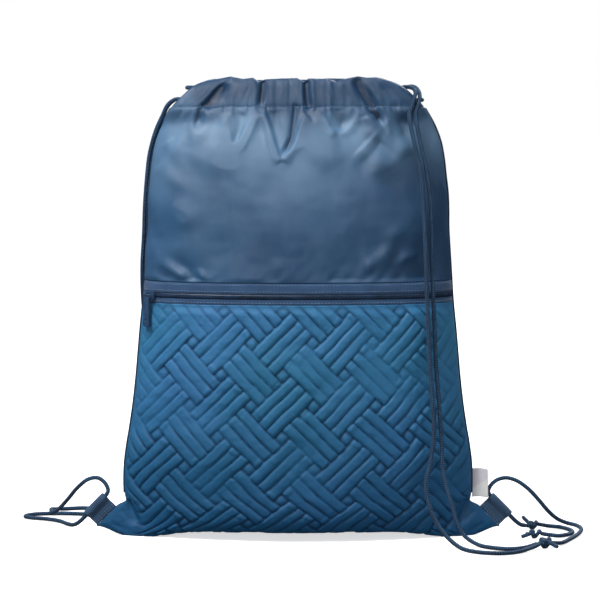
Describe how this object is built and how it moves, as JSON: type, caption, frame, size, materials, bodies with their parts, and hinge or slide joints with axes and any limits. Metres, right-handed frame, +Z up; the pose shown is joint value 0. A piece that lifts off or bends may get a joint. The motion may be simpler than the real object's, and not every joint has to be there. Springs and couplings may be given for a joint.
{
  "type": "quilted drawstring backpack",
  "caption": "Stuffed drawstring backpack with a basket-weave quilted front pocket, a zip across the front, a gathered neck and knotted cords through corner tabs.",
  "frame": {"origin": "middle of the bag without its cords, across and from front to back, at the level of the base", "axes": "+X to the right seen from the front, +Y to the back, +Z up to the gathered neck"},
  "size_m": [0.5388, 0.2379, 0.4274],
  "materials": {
    "nylon": "satin",
    "quilt": "satin",
    "zip_tape": "matt",
    "zip_chain": "semi-gloss",
    "slider_paint": "gloss",
    "webbing": "matt",
    "label": "satin",
    "cord": "matt"
  },
  "bodies": {
    "bag": {"quilted_panel": "quilt", "upper_front": "nylon", "back_panel": "nylon", "hem_front": "nylon", "hem_back": "nylon", "zip_tape_upper": "zip_tape", "zip_tape_lower": "zip_tape", "zip_chain": "zip_chain", "zip_slider": "slider_paint", "tab_left": "webbing", "tab_right": "webbing", "side_label": "label", "cord_right_hem": "cord", "cord_left_hem": "cord", "cord_right_a": "cord", "cord_right_b": "cord", "cord_right_arch": "cord", "cord_right_loop": "cord", "cord_left_c": "cord", "cord_left_d": "cord", "knot_right_pair": "cord", "knot_right_a": "cord", "knot_right_b": "cord", "knot_left": "cord"},
    "puller": {"zip_pull": "slider_paint"}
  },
  "joints": [
    {"name": "pull_swing", "type": "hinge", "parent": "bag", "child": "puller", "pos_m": [-0.14043, -0.02561, 0.22902], "axis": [-0.709, 0.7052, 0], "range_deg": [0, 150]}
  ]
}
